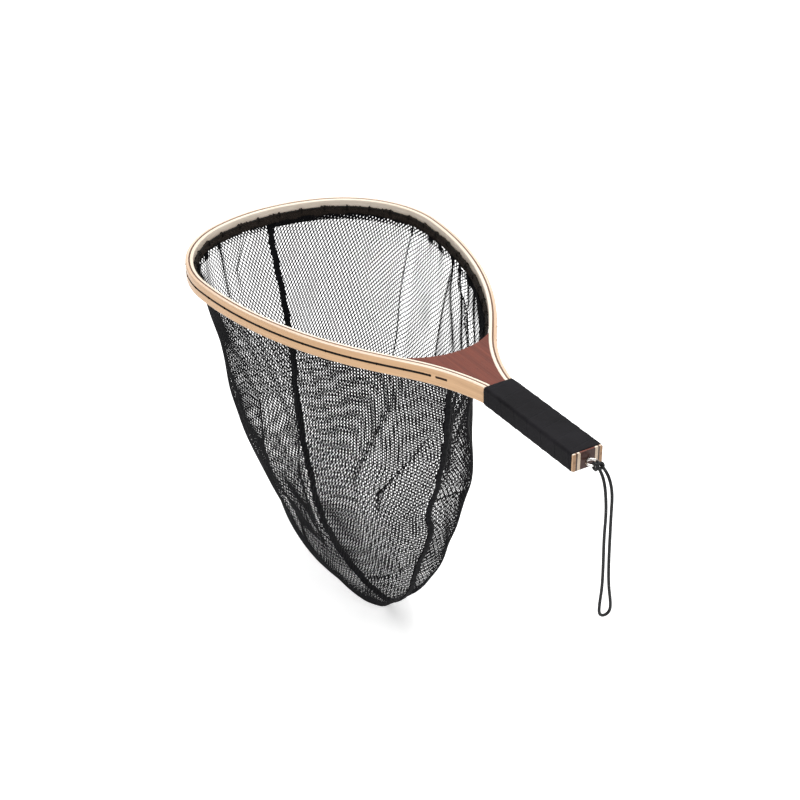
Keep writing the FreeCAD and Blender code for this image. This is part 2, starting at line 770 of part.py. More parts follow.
def make_lanyard(doc, sheet):
    """Cow hitch on the ring and the hanging wrist loop."""
    turns = []
    for side in (-1, 1):
        turn = doc.addObject("Part::Torus", "hitch_turn")
        turn.setExpression("Radius1", "dims.hitch_radius")
        turn.setExpression("Radius2", "dims.lanyard_radius")
        turn.Placement = FreeCAD.Placement(V(sheet.hitch_x, side * sheet.hitch_spread, 0),
                                           FreeCAD.Rotation(Z_AXIS, V(0, 1, 0)))
        turns.append(turn)
    hitch = doc.addObject("Part::MultiFuse", "hitch")
    hitch.Shapes = turns
    hitch.Label = "lanyard_hitch"
    spine = doc.addObject("Part::Feature", "lanyard_path")
    spine.Shape = Part.Wire([edge.toShape() for edge in rounded_route(LANYARD_ROUTE)])
    start = V(*LANYARD_ROUTE[0])
    heading = V(*LANYARD_ROUTE[1]) - start
    loop = sweep_cord(doc, "lanyard_loop", spine, "lanyard_radius", start, heading)
    length = spine.Shape.Length
    expected = math.pi * sheet.lanyard_radius ** 2 * length
    print(f"lanyard length {length:.1f}, volume over section times length "
          f"{loop.Shape.Volume / expected:.4f}")
    return [hitch, loop]


def check_document(doc):
    """Stop at any object that failed without raising."""
    for item in doc.Objects:
        if "Invalid" in item.State or "Error" in item.State:
            raise ValueError(f"{item.Label}: {item.State}")


def write_parts(parts):
    """Check each sub-part's shape and write its STEP file."""
    os.makedirs("parts", exist_ok=True)
    for part in parts:
        shape = part.Shape
        if shape.isNull() or not shape.isValid() or shape.Volume <= 0:
            raise ValueError(f"{part.Label} has no sound shape")
        shape.exportStep(f"parts/{part.Label}.step")
        box = shape.BoundBox
        print(f"{part.Label}: {len(shape.Solids)} solids, {shape.Volume / 1000.0:.2f} cm3, "
              f"x {box.XMin:.1f}..{box.XMax:.1f} y {box.YMin:.1f}..{box.YMax:.1f} "
              f"z {box.ZMin:.1f}..{box.ZMax:.1f}")


def main():
    doc = FreeCAD.newDocument("landing_net")
    sheet = make_sheet(doc)
    outline = Outline(sheet)
    drills = make_drills(doc, outline)
    parts = make_frame(doc, outline, drills)
    parts.append(make_core(doc, outline, drills))
    parts.append(make_wrap(doc, sheet))
    parts.append(make_eye(doc, sheet))
    parts += make_lacing(doc, outline)
    parts.append(make_hem(doc, outline))
    parts += make_bag(doc, outline)
    parts += make_tapes(doc, outline)
    parts += make_lanyard(doc, sheet)
    doc.recompute()
    check_document(doc)
    write_parts(parts)


main()
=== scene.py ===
"""Landing net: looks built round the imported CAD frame. Metres, in the CAD frame: +X runs from the
hoop's toe to the butt of the handle, +Z is up out of the hoop's plane, and the bag hangs down."""
import math

import bpy
import numpy as np
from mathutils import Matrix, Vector


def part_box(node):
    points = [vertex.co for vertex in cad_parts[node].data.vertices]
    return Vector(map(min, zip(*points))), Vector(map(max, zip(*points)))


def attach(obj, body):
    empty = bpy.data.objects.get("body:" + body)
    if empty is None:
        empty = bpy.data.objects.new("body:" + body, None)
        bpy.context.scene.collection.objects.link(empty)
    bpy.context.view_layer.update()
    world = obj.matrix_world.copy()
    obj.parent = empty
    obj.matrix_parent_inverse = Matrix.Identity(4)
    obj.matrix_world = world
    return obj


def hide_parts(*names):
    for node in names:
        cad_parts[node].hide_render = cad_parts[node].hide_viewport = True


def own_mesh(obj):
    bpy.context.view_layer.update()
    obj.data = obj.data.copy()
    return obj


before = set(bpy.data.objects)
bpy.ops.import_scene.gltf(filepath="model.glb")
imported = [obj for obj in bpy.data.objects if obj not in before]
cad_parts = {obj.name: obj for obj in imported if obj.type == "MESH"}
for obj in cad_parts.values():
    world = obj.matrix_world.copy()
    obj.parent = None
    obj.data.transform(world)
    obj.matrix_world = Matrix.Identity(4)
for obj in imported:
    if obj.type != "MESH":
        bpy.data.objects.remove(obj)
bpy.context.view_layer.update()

rng = np.random.default_rng(11)
MM = 0.001

# ---------------- camera, floor and light
CAMERA_PLACE = (1.1784, -0.8910, 0.9016)
CAMERA_AIM = (-0.7282, 0.4562, -0.5116)
CAMERA_LENS = 84.87
FLOOR_Z = -0.3775
FLOOR_HALF = 6
LAMP_TARGET = (-0.25, 0.0, -0.1)
# name, place, size, power (W)
LAMPS = (("key", (-0.9, 0.9, 2.0), 1.2, 27.0), ("fill", (1.8, -1.1, 1.2), 1.6, 12.0),
         ("top", (-0.2, 0.1, 2.3), 1.8, 36.0))

# ---------------- wrist lanyard, in millimetres
LANYARD_ROUTE = (
    (88.0, -2.4, 2.3), (93.6, -2.7, -0.6), (99.0, -3.0, -7.8), (102.6, -3.4, -19.0),
    (104.5, -3.1, -38.0), (103.9, -3.3, -64.0), (104.9, -2.9, -92.0), (106.4, -3.6, -116.0),
    (107.2, -6.1, -134.5), (107.5, -6.3, -144.6), (107.7, -2.7, -148.6), (107.9, 2.5, -148.8),
    (108.1, 6.3, -145.0), (108.0, 5.9, -135.0), (107.0, 3.2, -117.0), (105.4, 2.9, -93.0),
    (104.1, 3.4, -66.0), (104.0, 3.0, -41.0), (103.6, 3.3, -20.5), (100.0, 3.0, -8.6),
    (94.2, 2.7, -1.4), (88.0, 2.4, 1.1),
)
LANYARD_DIAMETER = 0.003
# Cow hitch round the eye's wire: in over the wire, round it, out below, and the bight across both strands.
HITCH_ROUTE = (
    (88.0, -2.4, 2.3), (85.0, -2.2, 3.0), (81.6, -2.0, 2.8), (79.3, -1.9, 0.0), (81.8, -2.0, -2.8),
    (85.2, -2.5, -2.8), (87.9, -3.9, -0.6), (88.2, -3.4, 3.8), (87.6, 0.0, 5.6), (88.0, 3.4, 3.6),
    (87.9, 3.9, -0.8), (85.2, 2.5, -2.8), (81.8, 2.0, -2.8), (79.3, 1.9, 0.0), (81.6, 2.0, 2.6),
    (85.0, 2.2, 2.2), (88.0, 2.4, 1.1),
)

# ---------------- hoop outline
TOE_X = -0.530
BENDS = ((0.195, 20.0), (0.121, 72.0), (0.420, 33.0))
REVERSE_BENDS = ((0.224, -20.0), (0.025, -15.0))
HANDLE_HALF = 0.0163
STRIP_EDGES = (0.0032, 0.0050, 0.0082)
THROAT_X = -0.141
THROAT_RADIUS = 0.085
CORNER_RADIUS = 0.020
BUTT_X = 0.070
LACE_Z = 0.0006
ROPE_INSET = STRIP_EDGES[2] + 0.0018
HOLE_PITCH = 0.028
HOLES_PER_SIDE = 19

# ---------------- bag, level by level
# height, toe end, throat end, half width, fullness, in millimetres
BAG_LEVELS = np.array((
    (-6.0, -521.0, -142.5, 135.5, 1.00),
    (-12.6, -519.0, -144.0, 134.0, 1.00),
    (-36.0, -510.0, -152.0, 127.0, 0.80),
    (-75.0, -496.3, -155.7, 119.0, 0.65),
    (-115.0, -482.8, -162.2, 114.0, 0.58),
    (-150.0, -473.5, -169.0, 110.0, 0.55),
    (-200.0, -468.0, -181.5, 97.0, 0.55),
    (-245.0, -459.0, -190.5, 81.0, 0.55),
    (-290.0, -442.0, -209.0, 64.0, 0.55),
    (-330.0, -424.7, -225.0, 52.0, 0.55),
    (-348.0, -408.0, -238.0, 43.0, 0.58),
    (-361.0, -381.0, -252.0, 32.0, 0.62),
    (-370.0, -356.0, -268.0, 18.0, 0.70),
    (-374.0, -322.0, -294.0, 3.0, 0.90),
))
SPLIT_Z = -0.330


class Hoop:
    """The hoop's outer face as tangent arcs; offsets run inwards, stations count from the toe."""

    def __init__(self):
        self.straight = 0.0
        self.segments = self.build()
        turns = sum(turn for _, turn in BENDS)
        drop = self.segments[-1]["start"][1] - HANDLE_HALF
        self.straight = drop / math.sin(math.radians(turns - 90.0))
        self.segments = self.build()

    def build(self):
        pieces = list(BENDS) + [(0.0, 0.0)] + list(REVERSE_BENDS)
        point = (TOE_X, 0.0)
        heading = 90.0
        at = 0.0
        segments = []
        for radius, turn in pieces:
            length = radius * math.radians(abs(turn)) if turn else self.straight
            segments.append(dict(start=point, heading=heading, radius=radius, turn=turn, length=length,
                                 at=at))
            point = self.on(segments[-1], length, 0.0)
            heading -= turn
            at += length
        length = BUTT_X - point[0]
        segments.append(dict(start=point, heading=0.0, radius=0.0, turn=0.0, length=length, at=at))
        self.length = at + length
        return segments

    @staticmethod
    def on(segment, along, offset):
        heading = math.radians(segment["heading"])
        right = (math.sin(heading), -math.cos(heading))
        x, y = segment["start"]
        if not segment["turn"]:
            return (x + math.cos(heading) * along + right[0] * offset,
                    y + math.sin(heading) * along + right[1] * offset)
        side = math.copysign(1.0, segment["turn"])
        reach = side * segment["radius"]
        swept = heading - side * along / segment["radius"]
        out = (-side * math.sin(swept), side * math.cos(swept))
        span = segment["radius"] - side * offset
        return (x + right[0] * reach + out[0] * span, y + right[1] * reach + out[1] * span)

    def point(self, station, offset):
        """(x, y) at a station; negative stations are on the -Y side."""
        at = abs(station)
        segment = next((s for s in self.segments if at <= s["at"] + s["length"] + 1e-9), self.segments[-1])
        x, y = self.on(segment, at - segment["at"], offset)
        return np.array((x, math.copysign(y, station) if y else 0.0))

    def inward(self, station):
        return (self.point(station, 0.001) - self.point(station, 0.0)) / 0.001


hoop = Hoop()


def hole_stations():
    half = [HOLE_PITCH * (i + 0.5) for i in range(HOLES_PER_SIDE)]
    return [-station for station in reversed(half)] + half


def run_along(points):
    """Distance along a line of points, from 0."""
    return np.concatenate(([0.0], np.cumsum(np.linalg.norm(np.diff(points, axis=0), axis=1))))


def resample(at, run, values):
    """Rows of values at new distances along a line."""
    return np.column_stack([np.interp(at, run, column) for column in values.T])


def mouth_line(offset, step=0.0015):
    """Closed mouth curve at an offset from the hoop's outer face, as evenly spaced (x, y) points."""
    inset = offset - STRIP_EDGES[2]
    line = hoop.segments[len(BENDS)]
    centre = np.array((THROAT_X - THROAT_RADIUS, 0.0))
    radius = THROAT_RADIUS - inset
    heading = math.radians(line["heading"])
    ahead = np.array((math.cos(heading), math.sin(heading)))
    right = np.array((math.sin(heading), -math.cos(heading)))
    base = np.array(line["start"]) + right * (offset + CORNER_RADIUS) - centre
    along = base @ ahead
    travel = math.sqrt((radius - CORNER_RADIUS) ** 2 - base @ base + along ** 2) - along
    middle = np.array(line["start"]) + right * (offset + CORNER_RADIUS) + ahead * travel
    out = (middle - centre) / np.linalg.norm(middle - centre)
    points = [hoop.point(s, offset) for s in np.linspace(0.0, line["at"], 400)]
    points.append(middle - right * CORNER_RADIUS)
    first = math.atan2(-right[1], -right[0])
    last = math.atan2(out[1], out[0])
    for angle in np.linspace(first, last, 24)[1:]:
        points.append(middle + np.array((math.cos(angle), math.sin(angle))) * CORNER_RADIUS)
    for angle in np.linspace(last, 0.0, 60)[1:]:
        points.append(centre + np.array((math.cos(angle), math.sin(angle))) * radius)
    half = np.array(points)
    whole = np.vstack((half, (half * (1, -1))[::-1][1:-1]))
    closed = np.vstack((whole, whole[:1]))
    run = run_along(closed)
    count = int(run[-1] / step)
    at = np.arange(count) * run[-1] / count
    return resample(at, run, closed), at


# ---------------- mesh helpers
def add_object(name, data):
    made = bpy.data.objects.new(name, data)
    bpy.context.scene.collection.objects.link(made)
    return made


def aim_along(thing, direction):
    """Turns a camera or lamp to look along a direction."""
    thing.rotation_mode = "QUATERNION"
    thing.rotation_quaternion = direction.to_track_quat("-Z", "Y")


def finish_mesh(mesh, name, material):
    mesh.polygons.foreach_set("use_smooth", np.ones(len(mesh.polygons), bool))
    mesh.materials.append(material)
    return add_object(name, mesh)


def add_mesh(name, verts, faces, material, uvs=None):
    """A new object from arrays; uvs has one pair per face corner."""
    mesh = bpy.data.meshes.new(name)
    verts = np.asarray(verts, np.float32)
    faces = np.asarray(faces, np.int32)
    sides = faces.shape[1]
    mesh.vertices.add(len(verts))
    mesh.vertices.foreach_set("co", verts.ravel())
    mesh.loops.add(faces.size)
    mesh.loops.foreach_set("vertex_index", faces.ravel())
    mesh.polygons.add(len(faces))
    mesh.polygons.foreach_set("loop_start", np.arange(0, faces.size, sides, dtype=np.int32))
    if uvs is not None:
        layer = mesh.uv_layers.new(name="weave")
        layer.data.foreach_set("uv", np.asarray(uvs, np.float32).ravel())
    mesh.update(calc_edges=True)
    mesh.validate()
    return finish_mesh(mesh, name, material)


def grid_faces(rows, columns, wrap_rows=False, wrap_columns=False):
    """Quads over a grid of vertices stored row by row."""
    row = np.arange(rows if wrap_rows else rows - 1)
    column = np.arange(columns if wrap_columns else columns - 1)
    r, c = (a.ravel() for a in np.meshgrid(row, column, indexing="ij"))
    r_next = (r + 1) % rows
    c_next = (c + 1) % columns
    return np.column_stack((r * columns + c, r * columns + c_next, r_next * columns + c_next,
                            r_next * columns + c))


def tangents(points, closed):
    if closed:
        ahead = np.roll(points, -1, axis=0) - np.roll(points, 1, axis=0)
    else:
        ahead = np.gradient(points, axis=0)
    return ahead / np.linalg.norm(ahead, axis=1)[:, None]


def tube(name, points, radius, material, closed=False, sides=12, up=(0, 0, 1)):
    """A round tube along points, with UVs in metres along it and in turns round it. An open one
    ends in two low cones."""
    points = np.asarray(points, float)
    ahead = tangents(points, closed)
    side = np.cross(ahead, up)
    weak = np.linalg.norm(side, axis=1) < 0.2
    side[weak] = np.cross(ahead[weak], (0, 1, 0))
    side /= np.linalg.norm(side, axis=1)[:, None]
    for i in range(1, len(side)):
        carried = side[i - 1] - ahead[i] * (side[i - 1] @ ahead[i])
        side[i] = carried / np.linalg.norm(carried)
    third = np.cross(side, ahead)
    angle = np.linspace(0, 2 * math.pi, sides, endpoint=False)
    radius = np.broadcast_to(np.asarray(radius, float), (len(points),))
    ring = (side[:, None, :] * np.cos(angle)[None, :, None]
            + third[:, None, :] * np.sin(angle)[None, :, None])
    verts = (points[:, None, :] + ring * radius[:, None, None]).reshape(-1, 3)
    rows = len(points)
    faces = grid_faces(rows, sides, closed, True)
    run = run_along(points)
    span = run[-1] + (np.linalg.norm(points[0] - points[-1]) if closed else 0.0)
    first_row = np.repeat(np.arange(rows if closed else rows - 1), sides)
    next_run = np.append(run, span)
    turn = np.tile(np.arange(sides) / sides, rows if closed else rows - 1)
    low, high = next_run[first_row], next_run[first_row + 1]
    uvs = np.stack((np.stack((low, turn), 1), np.stack((low, turn + 1 / sides), 1),
                    np.stack((high, turn + 1 / sides), 1), np.stack((high, turn), 1)), 1)
    if closed:
        return add_mesh(name, verts, faces, material, uvs)
    first_tip = len(verts)
    verts = np.vstack((verts, points[:1] - ahead[:1] * radius[0] * 0.5,
                       points[-1:] + ahead[-1:] * radius[-1] * 0.5))
    around = np.arange(sides)
    after = (around + 1) % sides
    last = (rows - 1) * sides
    triangles = np.vstack((np.column_stack((np.full(sides, first_tip), after, around)),
                           np.column_stack((np.full(sides, first_tip + 1), last + around, last + after))))
    mesh = bpy.data.meshes.new(name)
    mesh.from_pydata(verts.tolist(), [], faces.tolist() + triangles.tolist())
    layer = mesh.uv_layers.new(name="weave")
    flat = np.zeros((len(mesh.loops), 2), np.float32)
    flat[:uvs.size // 2] = uvs.reshape(-1, 2)
    layer.data.foreach_set("uv", flat.ravel())
    return finish_mesh(mesh, name, material)


def join(name, pieces):
    """Join several mesh objects into the first and rename it."""
    with bpy.context.temp_override(active_object=pieces[0], selected_editable_objects=pieces):
        bpy.ops.object.join()
    pieces[0].name = name
    return pieces[0]


# ---------------- material helpers
class Shader:
    """Short calls for building a node material."""

    def __init__(self, name):
        self.material = bpy.data.materials.new(name)
        self.material.use_nodes = True
        self.tree = self.material.node_tree
        self.bsdf = self.tree.nodes["Principled BSDF"]

    def node(self, kind, settings=None, **links):
        made = self.tree.nodes.new(kind)
        for key, value in (settings or {}).items():
            setattr(made, key, value)
        for key, value in links.items():
            socket = made.inputs[int(key[1:])] if key[0] == "i" and key[1:].isdigit() else made.inputs[key]
            self.feed(socket, value)
        return made

    def feed(self, socket, value):
        if isinstance(value, bpy.types.NodeSocket):
            self.tree.links.new(value, socket)
        else:
            socket.default_value = value

    def math(self, operation, a, b=0.0, c=0.0):
        return self.node("ShaderNodeMath", {"operation": operation}, i0=a, i1=b, i2=c).outputs[0]

    def times(self, a, b):
        return self.math("MULTIPLY", a, b)

    def plus(self, a, b):
        return self.math("ADD", a, b)

    def less(self, a, b):
        return self.math("SUBTRACT", a, b)

    def mix(self, factor, a, b, kind="RGBA"):
        made = self.node("ShaderNodeMix", {"data_type": kind})
        self.feed(made.inputs["Factor"], factor)
        self.feed(made.inputs["A"], a)
        self.feed(made.inputs["B"], b)
        return made.outputs["Result"]

    def blend(self, factor, a, b):
        return self.mix(factor, a, b, "FLOAT")

    def level(self, value, low, high, to_low=0.0, to_high=1.0):
        made = self.node("ShaderNodeMapRange", i0=value, i1=low, i2=high, i3=to_low, i4=to_high)
        return made.outputs[0]

    def noise(self, vector, scale, detail=3.0, roughness=0.55, distortion=0.0):
        made = self.node("ShaderNodeTexNoise", Vector=vector, Scale=scale, Detail=detail,
                         Roughness=roughness, Distortion=distortion)
        return made.outputs["Fac"]

    def combine(self, x, y, z):
        return self.node("ShaderNodeCombineXYZ", X=x, Y=y, Z=z).outputs[0]

    def separate(self, vector):
        return self.node("ShaderNodeSeparateXYZ", Vector=vector).outputs

    def position(self):
        return self.node("ShaderNodeTexCoord").outputs["Object"]

    def weave(self):
        return self.node("ShaderNodeUVMap", {"uv_map": "weave"}).outputs[0]

    def bump(self, height, strength, distance):
        made = self.node("ShaderNodeBump", Height=height, Strength=strength, Distance=distance)
        self.tree.links.new(made.outputs[0], self.bsdf.inputs["Normal"])

    def surface(self, **values):
        for key, value in values.items():
            self.feed(self.bsdf.inputs[key.replace("_", " ")], value)
        return self.material


def rgb(r, g, b):
    return (r, g, b, 1.0)


def grain_coordinates(s):
    """(station along the strips, offset from the outer face, height) of the point being shaded."""
    x, y, z = s.separate(s.position())
    y = s.math("ABSOLUTE", y)
    station = offset = None
    for segment in hoop.segments:
        heading = math.radians(segment["heading"])
        ahead = (math.cos(heading), math.sin(heading))
        right = (math.sin(heading), -math.cos(heading))
        x0, y0 = segment["start"]
        dx = s.less(x, x0)
        dy = s.less(y, y0)
        along = s.plus(s.times(dx, ahead[0]), s.times(dy, ahead[1]))
        inside = s.plus(s.times(dx, right[0]), s.times(dy, right[1]))
        if segment["turn"]:
            side = math.copysign(1.0, segment["turn"])
            reach = s.less(side * segment["radius"], inside)
            reach = s.times(reach, side)
            far = s.math("SQRT", s.plus(s.math("POWER", along, 2.0), s.math("POWER", reach, 2.0)))
            swept = s.math("ARCTAN2", along, reach)
            here = s.math("MULTIPLY_ADD", swept, segment["radius"], segment["at"])
            depth = s.times(s.less(segment["radius"], far), side)
        else:
            here = s.plus(along, segment["at"])
            depth = inside
        if station is None:
            station, offset = here, depth
            continue
        past = s.math("GREATER_THAN", along, 0.0)
        station = s.blend(past, station, here)
        offset = s.blend(past, offset, depth)
    return station, offset, z


def wood(name, light, dark, streak, roughness, coat, across=900.0, pore=0.5, seed=0.0, top=None, groove=None,
         straight=False):
    """Lacquered wood whose grain follows the bent strips, with a painted highlight that makes it paler on top
    and painted shade that makes it dark down in the groove.
    """
    s = Shader(name)
    x, y, z = s.separate(s.position())
    if straight:
        station, offset = x, y
    else:
        station, offset, z = grain_coordinates(s)
    side = s.math("SIGN", s.separate(s.position())[1])
    shifted = s.plus(station, s.times(side, 3.1 + seed))

    def stretched(along, inward, up):
        return s.combine(s.times(shifted, along), s.times(offset, inward), s.times(z, up))

    fine = s.noise(stretched(9.0, across, across * 0.55), 1.0, 5.0, 0.62)
    broad = s.noise(stretched(4.0, 120.0, 150.0), 1.0, 2.0, 0.5)
    pores = s.noise(stretched(160.0, 2600.0, 2600.0), 1.0, 1.0, 0.5)
    tone = s.level(s.plus(s.times(fine, 0.65), s.times(broad, 0.45)), 0.38, 0.72)
    # Painted highlight: faces at the top and bottom of the strip take the paler top colour, standing in for
    # light falling on the top.
    if top:
        light = s.mix(s.level(s.math("ABSOLUTE", z), 0.0078, 0.0088), light, top)
    colour = s.mix(tone, light, dark)
    marks = s.times(s.level(pores, 0.66, 0.74), pore)
    colour = s.mix(marks, colour, streak)
    # Painted shade: the groove's floor beside the cord is darkened to the groove colour.
    if groove:
        near = s.level(s.math("ABSOLUTE", s.less(z, LACE_Z)), 0.00128, 0.00142, 1.0, 0.0)
        groove_shade_mask = s.times(near, s.level(offset, 0.0001, 0.0006))
        colour = s.mix(s.times(groove_shade_mask, s.level(offset, 0.0030, 0.0026)), colour, groove)
    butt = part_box("handle_core")[1].x
    end = s.level(x, butt - 0.0006, butt - 0.0002)
    colour = s.mix(s.times(end, 0.85), colour, streak)
    s.bump(s.plus(s.times(fine, 0.6), s.times(marks, -0.5)), 0.35, 0.00025)
    gloss = s.level(fine, 0.3, 0.7, roughness - 0.05, roughness + 0.08)
    return s.surface(Base_Color=colour, Roughness=gloss, Coat_Weight=coat, Coat_Roughness=0.16,
                     Specular_IOR_Level=0.25)


def grip_rubber():
    """Black tape with a fine pebbled face, a little lighter along its lap edges."""
    s = Shader("grip_rubber")
    place = s.position()
    pebble = s.node("ShaderNodeTexVoronoi", {"feature": "F1"}, Vector=place, Scale=1500.0).outputs["Distance"]
    cloud = s.noise(place, 38.0, 4.0, 0.6)
    specks = s.level(s.noise(place, 900.0, 1.0, 0.5), 0.72, 0.78)
    pointiness = s.node("ShaderNodeNewGeometry").outputs["Pointiness"]
    lap_edge_lightening = s.level(pointiness, 0.505, 0.56, 0.0, 0.55)
    colour = s.mix(s.level(cloud, 0.35, 0.7), rgb(0.006, 0.0056, 0.0068), rgb(0.014, 0.0132, 0.0155))
    colour = s.mix(lap_edge_lightening, colour, rgb(0.030, 0.030, 0.034))
    colour = s.mix(s.times(specks, 0.25), colour, rgb(0.07, 0.07, 0.075))
    s.bump(s.plus(pebble, s.times(cloud, 0.8)), 0.45, 0.0003)
    return s.surface(Base_Color=colour, Roughness=s.level(cloud, 0.3, 0.7, 0.52, 0.68),
                     Specular_IOR_Level=0.07)


def nickel():
    """Bright plated steel with faint draw marks."""
    s = Shader("plated_steel")
    place = s.position()
    marks = s.noise(place, 1600.0, 2.0, 0.5)
    cloud = s.noise(place, 220.0, 3.0, 0.5)
    colour = s.mix(s.level(cloud, 0.3, 0.75), rgb(0.78, 0.77, 0.75), rgb(0.60, 0.58, 0.55))
    s.bump(marks, 0.12, 0.0001)
    return s.surface(Base_Color=colour, Metallic=1.0, Roughness=s.level(marks, 0.3, 0.7, 0.12, 0.24))


def braid(name, dark, light, pitch, roughness):
    """Braided cord from its UVs: metres along it, turns round it."""
    s = Shader(name)
    u, v, _ = s.separate(s.weave())
    along = s.times(u, 2 * math.pi / pitch)
    around = s.times(v, 2 * math.pi * 4)
    one = s.math("SINE", s.plus(along, around))
    two = s.math("SINE", s.less(along, around))
    strands = s.math("MAXIMUM", one, two)
    fuzz = s.noise(s.position(), 2500.0, 2.0, 0.6)
    colour = s.mix(s.level(s.plus(strands, s.times(fuzz, 0.8)), -0.2, 1.6), dark, light)
    s.bump(s.plus(strands, s.times(fuzz, 0.5)), 0.6, 0.00018)
    return s.surface(Base_Color=colour, Roughness=roughness, Specular_IOR_Level=0.12)


def twine(name, dark, light):
    """Soft synthetic thread: twisted filaments with a slight sheen."""
    s = Shader(name)
    place = s.position()
    fibre = s.node("ShaderNodeTexWave", {"bands_direction": "DIAGONAL"}, Vector=place, Scale=2200.0,
                   Distortion=2.0, Detail=2.0).outputs["Fac"]
    cloud = s.noise(place, 60.0, 3.0, 0.6)
    colour = s.mix(s.level(s.plus(s.times(fibre, 0.4), cloud), 0.4, 1.1), dark, light)
    s.bump(fibre, 0.4, 0.00012)
    return s.surface(Base_Color=colour, Roughness=0.55, Specular_IOR_Level=0.07)


def hem_cloth():
    """Net gathered into many layers: dark, with diagonal hatching and small gaps of deeper black, which are
    painted shade.
    """
    s = Shader("hem_cloth")
    place = s.position()
    hatch_one = s.node("ShaderNodeTexWave", {"bands_direction": "DIAGONAL"}, Vector=place, Scale=230.0,
                       Distortion=5.0, Detail=3.0).outputs["Fac"]
    mesh = s.node("ShaderNodeTexVoronoi", {"feature": "DISTANCE_TO_EDGE"}, Vector=place,
                  Scale=620.0).outputs["Distance"]
    # Painted shade: away from the cell edges, in the gaps between the threads, the colour goes to deeper
    # black.
    threads = s.level(mesh, 0.04, 0.22, 1.0, 0.0)
    cloud = s.noise(place, 90.0, 3.0, 0.6)
    mixed = s.times(s.plus(threads, hatch_one), s.plus(cloud, 0.35))
    colour = s.mix(s.level(mixed, 0.1, 1.5), rgb(0.004, 0.003, 0.0026), rgb(0.040, 0.029, 0.022))
    s.bump(s.plus(threads, hatch_one), 0.8, 0.0005)
    return s.surface(Base_Color=colour, Roughness=0.72, Specular_IOR_Level=0.15)


def tape_cloth():
    """Black ribbed binding tape, from its UVs: metres along and across it."""
    s = Shader("tape_cloth")
    u, v, _ = s.separate(s.weave())
    rib = s.math("SINE", s.times(u, 2 * math.pi / 0.0009))
    from_middle = s.math("ABSOLUTE", v)
    thread = s.math("COMPARE", from_middle, 0.0022, 0.00028)
    dash = s.math("GREATER_THAN", s.math("SINE", s.times(u, 2 * math.pi / 0.003)), -0.55)
    stitch = s.times(thread, dash)
    cloud = s.noise(s.position(), 260.0, 3.0, 0.6)
    colour = s.mix(s.level(s.plus(s.times(rib, 0.25), cloud), 0.2, 0.9),
                   rgb(0.002, 0.002, 0.0025), rgb(0.008, 0.008, 0.0095))
    colour = s.mix(s.times(stitch, 0.7), colour, rgb(0.022, 0.022, 0.025))
    s.bump(s.plus(s.times(rib, 0.5), s.times(stitch, 1.6)), 0.7, 0.0002)
    return s.surface(Base_Color=colour, Roughness=0.62, Specular_IOR_Level=0.05)


# ---------------- camera, lanyard
def make_camera():
    data = bpy.data.cameras.new("camera")
    data.lens = CAMERA_LENS
    data.sensor_width = 36.0
    data.clip_start = 0.05
    camera = add_object("camera", data)
    camera.location = CAMERA_PLACE
    aim_along(camera, Vector(CAMERA_AIM))
    bpy.context.scene.camera = camera


def cord_curve(name, route, diameter, material):
    """A free cord: one smooth spline with the route's points as its control points."""
    curve = bpy.data.curves.new(name, "CURVE")
    curve.dimensions = "3D"
    curve.resolution_u = 12
    curve.bevel_depth = diameter / 2
    curve.bevel_resolution = 5
    curve.use_fill_caps = True
    spline = curve.splines.new("NURBS")
    spline.points.add(len(route) - 1)
    for point, place in zip(spline.points, route):
        point.co = (*(value * MM for value in place), 1.0)
    spline.order_u = 3
    spline.use_endpoint_u = True
    curve.materials.append(material)
    return add_object(name, curve)


def elastic_cord():
    """Sheathed elastic cord: tight cross weave from the place alone, as a curve has no seam to follow."""
    s = Shader("elastic_cord")
    place = s.position()
    weave = s.node("ShaderNodeTexVoronoi", {"feature": "F1"}, Vector=place, Scale=1500.0)
    cells = weave.outputs["Distance"]
    cloud = s.noise(place, 300.0, 2.0, 0.5)
    colour = s.mix(s.level(s.plus(cells, s.times(cloud, 0.5)), 0.2, 1.1),
                   rgb(0.026, 0.027, 0.029), rgb(0.003, 0.003, 0.0035))
    s.bump(cells, -0.5, 0.0002)
    return s.surface(Base_Color=colour, Roughness=0.5, Specular_IOR_Level=0.25)


def make_lanyard():
    cloth = elastic_cord()
    loop = cord_curve("wrist_lanyard", LANYARD_ROUTE, LANYARD_DIAMETER, cloth)
    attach(loop, "lanyard_cord")
    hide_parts("lanyard_loop")
    hitch = cord_curve("lanyard_cow_hitch", HITCH_ROUTE, LANYARD_DIAMETER * 0.96, cloth)
    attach(hitch, "lanyard_knot")
    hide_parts("lanyard_hitch")


# ---------------- wood and metal on the CAD nodes
def dress_frame():
    # Painted light on the outer strip: the top colour is a painted highlight on its top faces, and the groove
    # colour is painted shade in its groove.
    pale = wood("pale_wood", rgb(0.72, 0.46, 0.255), rgb(0.53, 0.315, 0.165), rgb(0.30, 0.165, 0.085),
                0.34, 0.2, top=rgb(0.93, 0.82, 0.70), groove=rgb(0.035, 0.016, 0.009))
    # Painted light: the inner strip is a lit copy of the pale wood, in the paler colour of the lit tops.
    inner = wood("pale_wood_inner_lit_copy", rgb(0.93, 0.82, 0.70), rgb(0.78, 0.66, 0.53), rgb(0.52, 0.40, 0.29),
                 0.36, 0.3, seed=1.7)
    brown = wood("brown_wood", rgb(0.19, 0.095, 0.055), rgb(0.10, 0.048, 0.028), rgb(0.04, 0.02, 0.012),
                 0.38, 0.3, seed=0.6)
    red = wood("red_wood", rgb(0.185, 0.043, 0.024), rgb(0.100, 0.022, 0.0125), rgb(0.025, 0.007, 0.004),
               0.36, 0.12, across=620.0, pore=0.75, seed=2.3, straight=True)
    dressed = {"outer_lamination": pale, "middle_lamination": brown, "inner_lamination": inner,
               "handle_core": red, "screw_eye": nickel()}
    for node, material in dressed.items():
        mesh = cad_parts[node].data
        mesh.materials.clear()
        mesh.materials.append(material)


# ---------------- grip
WRAP_PITCH = 0.021
WRAP_STEP = 0.00024
WRAP_ROUND = 0.0032


